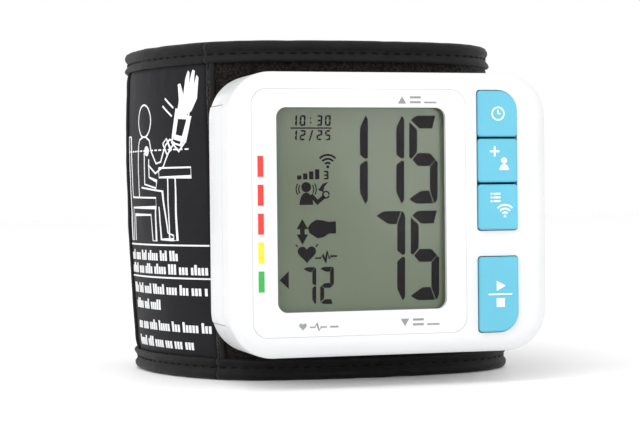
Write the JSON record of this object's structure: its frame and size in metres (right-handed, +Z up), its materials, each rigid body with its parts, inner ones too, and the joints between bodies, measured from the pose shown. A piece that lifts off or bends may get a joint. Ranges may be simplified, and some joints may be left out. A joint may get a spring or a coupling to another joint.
{
  "type": "wrist blood pressure monitor",
  "caption": "Wrist blood pressure monitor: white housing with a large display and four blue buttons, fixed to a fabric cuff closed in a loop.",
  "frame": {"origin": "on the surface the cuff stands on, under the middle of the whole object's box", "axes": "+Z up along the wrist opening, the display faces -Y, +X to the right of someone reading it"},
  "size_m": [0.091, 0.1046, 0.081],
  "materials": {
    "white_plastic": "satin white moulded housing",
    "bezel": "gloss white panel",
    "clear_window": "clear acrylic",
    "display_grey": "grey-green liquid crystal display",
    "diffuser": "milky backlight plate",
    "black_plastic": "black moulded plastic",
    "dark_rubber": "conductive rubber",
    "blue_plastic": "satin sky blue button",
    "red_print": "red print",
    "yellow_print": "yellow print",
    "green_print": "green print",
    "circuit_board": "green solder mask",
    "metal": "plated steel",
    "cell_can": "printed sleeve over a metal can",
    "grey_plastic": "grey moulded plastic",
    "silicone": "translucent silicone hose",
    "loop_fabric": "black brushed loop fabric",
    "panel_fabric": "smooth black coated fabric with white print",
    "lining_fabric": "black nylon lining",
    "binding_tape": "black woven binding tape with stitches",
    "hook_fabric": "black hook tape",
    "stiffener": "springy plastic sheet",
    "bladder": "soft plastic air bladder"
  },
  "bodies": {
    "root": {"front_cover": "white_plastic", "rear_cover": "white_plastic", "display_bezel": "bezel", "display_window": "clear_window", "display_glass": "display_grey", "display_backlight": "diffuser", "display_holder": "black_plastic", "display_connector": "dark_rubber", "red_marks": "red_print", "yellow_marks": "yellow_print", "green_marks": "green_print", "main_board": "circuit_board", "processor_chip": "black_plastic", "radio_module": "metal", "buzzer": "black_plastic", "pressure_sensor": "grey_plastic", "board_components": "black_plastic", "tact_switches": "black_plastic", "board_screws": "metal", "battery_tray": "grey_plastic", "left_battery": "cell_can", "right_battery": "cell_can", "contact_plates": "metal", "contact_springs": "metal", "air_joint": "grey_plastic", "sensor_hose": "silicone", "pump_hose": "silicone", "valve_hose": "silicone", "cuff_hose": "silicone", "pump_head": "black_plastic", "pump_motor": "metal", "release_valve": "grey_plastic", "bladder_nipple": "grey_plastic", "mount_screws": "metal", "case_screws": "metal", "front_fabric": "loop_fabric", "front_stiffener": "stiffener", "front_bladder": "bladder", "front_lining": "lining_fabric", "front_top_binding": "binding_tape", "front_bottom_binding": "binding_tape", "front_seam_strip": "binding_tape"},
    "clock_button": {"clock_button": "blue_plastic"},
    "user_button": {"user_button": "blue_plastic"},
    "memory_button": {"memory_button": "blue_plastic"},
    "start_button": {"start_button": "blue_plastic"},
    "battery_door": {"battery_door": "white_plastic"},
    "cuff_left": {"left_fabric": "panel_fabric", "left_stiffener": "stiffener", "left_bladder": "bladder", "left_lining": "lining_fabric", "left_top_binding": "binding_tape", "left_bottom_binding": "binding_tape", "left_seam_strip": "binding_tape"},
    "cuff_tail": {"tail_fabric_panel": "loop_fabric", "tail_lining": "lining_fabric", "hook_pad": "hook_fabric", "tail_bottom_binding": "binding_tape", "tail_top_binding": "binding_tape"}
  },
  "joints": [
    {"name": "clock_press", "type": "slide", "parent": "root", "child": "clock_button", "axis": [0, 1, 0], "range_m": [0, 0.0007], "stiffness_N_per_m": 1500},
    {"name": "user_press", "type": "slide", "parent": "root", "child": "user_button", "axis": [0, 1, 0], "range_m": [0, 0.0007], "stiffness_N_per_m": 1500},
    {"name": "memory_press", "type": "slide", "parent": "root", "child": "memory_button", "axis": [0, 1, 0], "range_m": [0, 0.0007], "stiffness_N_per_m": 1500},
    {"name": "start_press", "type": "slide", "parent": "root", "child": "start_button", "axis": [0, 1, 0], "range_m": [0, 0.0007], "stiffness_N_per_m": 1500},
    {"name": "door_slide", "type": "slide", "parent": "root", "child": "battery_door", "axis": [-1, 0, 0], "range_m": [0, 0.015]},
    {"name": "cuff_flex", "type": "hinge", "parent": "root", "child": "cuff_left", "pos_m": [-0.03345, -0.01818, 0.0405], "axis": [0, 0, 1], "range_deg": [0, 40], "stiffness_Nm_per_rad": 0.25},
    {"name": "tail_fold", "type": "hinge", "parent": "cuff_left", "child": "cuff_tail", "pos_m": [-0.02159, 0.04909, 0.0405], "axis": [0, 0, 1], "range_deg": [0, 110]}
  ]
}
